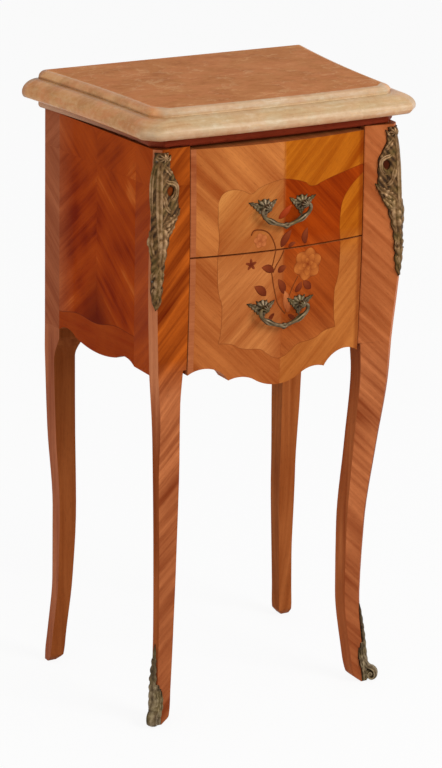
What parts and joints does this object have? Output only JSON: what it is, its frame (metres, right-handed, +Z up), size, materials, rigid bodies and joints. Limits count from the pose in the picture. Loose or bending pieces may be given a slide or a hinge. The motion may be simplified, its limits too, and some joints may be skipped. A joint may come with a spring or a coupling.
{
  "type": "nightstand",
  "caption": "Marble-topped nightstand with bowed sliding drawers, swinging bail pulls, a scalloped apron and cabriole legs with bronze corner mounts and shoes.",
  "frame": {"origin": "on the floor, under the centre of the bounding box", "axes": "+X to the right seen from the front, the front faces -Y, +Z up"},
  "size_m": [0.398, 0.2688, 0.73],
  "materials": {
    "marble": "polished",
    "moulding": "satin",
    "front_veneer": "polished",
    "side_veneer": "polished",
    "leg_veneer": "polished",
    "drawer_wood": "plain",
    "case_wood": "plain",
    "bronze": "dull, aged",
    "pull_brass": "dull",
    "iron": "dull"
  },
  "bodies": {
    "case": {"back_leg_left": "leg_veneer", "back_leg_right": "leg_veneer", "back_panel": "case_wood", "back_panel_nails": "iron", "back_rail": "case_wood", "bottom_board": "case_wood", "corner_mount_left": "bronze", "corner_mount_right": "bronze", "divider_rail": "case_wood", "front_leg_left": "leg_veneer", "front_leg_right": "leg_veneer", "front_top_rail": "case_wood", "kicker_left": "case_wood", "kicker_right": "case_wood", "lower_guide_left": "case_wood", "lower_guide_right": "case_wood", "lower_runner_left": "case_wood", "lower_runner_right": "case_wood", "marble_top": "marble", "mount_brads": "iron", "shoe_left": "bronze", "shoe_right": "bronze", "side_panel_left": "side_veneer", "side_panel_right": "side_veneer", "sub_top": "moulding", "top_dowels": "case_wood", "upper_guide_left": "case_wood", "upper_guide_right": "case_wood", "upper_runner_left": "case_wood", "upper_runner_right": "case_wood"},
    "drawer_upper": {"upper_drawer_back": "drawer_wood", "upper_drawer_bottom": "drawer_wood", "upper_drawer_front": "front_veneer", "upper_drawer_side_left": "drawer_wood", "upper_drawer_side_right": "drawer_wood", "upper_pull_nuts": "pull_brass", "upper_pull_post_left": "bronze", "upper_pull_post_right": "bronze"},
    "drawer_lower": {"lower_drawer_back": "drawer_wood", "lower_drawer_bottom": "drawer_wood", "lower_drawer_front": "front_veneer", "lower_drawer_side_left": "drawer_wood", "lower_drawer_side_right": "drawer_wood", "lower_pull_nuts": "pull_brass", "lower_pull_post_left": "bronze", "lower_pull_post_right": "bronze"},
    "bail_upper": {"upper_bail": "bronze"},
    "bail_lower": {"lower_bail": "bronze"}
  },
  "joints": [
    {"name": "upper_drawer_slide", "type": "slide", "parent": "case", "child": "drawer_upper", "axis": [0, -1, 0], "range_m": [0, 0.15]},
    {"name": "upper_bail_swing", "type": "hinge", "parent": "drawer_upper", "child": "bail_upper", "pos_m": [0, -0.12985, 0.612], "axis": [-1, 0, 0], "range_deg": [0, 90]},
    {"name": "lower_drawer_slide", "type": "slide", "parent": "case", "child": "drawer_lower", "axis": [0, -1, 0], "range_m": [0, 0.15]},
    {"name": "lower_bail_swing", "type": "hinge", "parent": "drawer_lower", "child": "bail_lower", "pos_m": [0, -0.12985, 0.495], "axis": [-1, 0, 0], "range_deg": [0, 90]}
  ]
}
